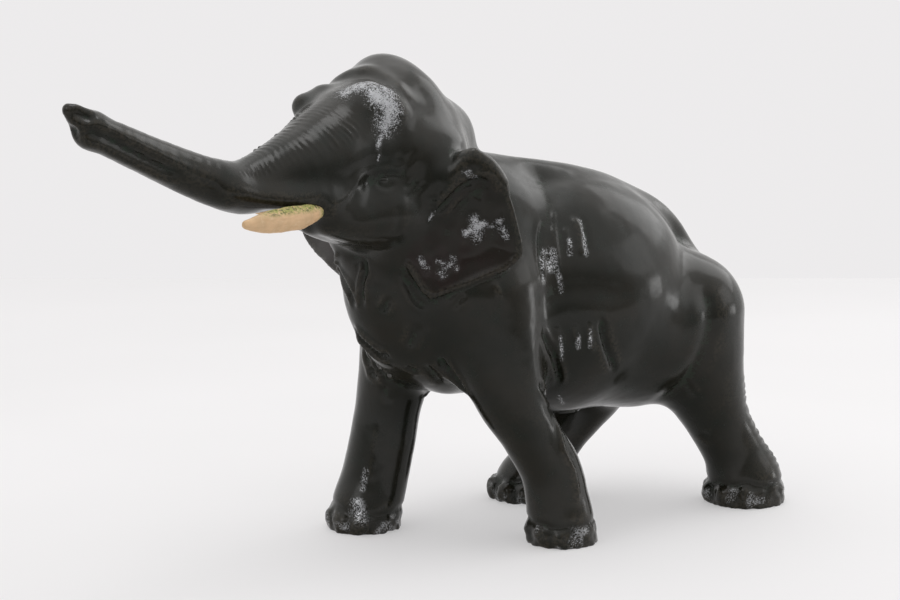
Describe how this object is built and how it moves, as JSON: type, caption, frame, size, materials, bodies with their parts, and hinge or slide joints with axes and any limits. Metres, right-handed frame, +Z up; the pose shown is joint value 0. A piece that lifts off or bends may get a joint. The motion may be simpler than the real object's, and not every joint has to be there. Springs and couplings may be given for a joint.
{
  "type": "elephant figurine",
  "caption": "Hollow cast elephant figurine, striding with its trunk raised, with let-in tusks, sole plates and a belly plug.",
  "frame": {"origin": "on the ground, under the middle of the bounding box", "axes": "+Z up, the elephant faces -X, its left flank is at -Y, so +X runs towards the tail"},
  "size_m": [0.358, 0.104, 0.203],
  "materials": {
    "bronze_body": "dark brown-black patina, waxed, with green in the hollows",
    "bronze_plates": "dull brown patina, rubbed where it stands",
    "tusk_bone": "tan bone or ivory substitute, satin, green at the root",
    "dowel_wood": "plain turned hardwood"
  },
  "bodies": {
    "root": {"body_casting": "bronze_body", "left_tusk": "tusk_bone", "right_tusk": "tusk_bone", "left_tusk_dowel": "dowel_wood", "right_tusk_dowel": "dowel_wood", "sole_front_left": "bronze_plates", "sole_front_right": "bronze_plates", "sole_hind_left": "bronze_plates", "sole_hind_right": "bronze_plates", "belly_plug": "bronze_plates"}
  },
  "joints": []
}
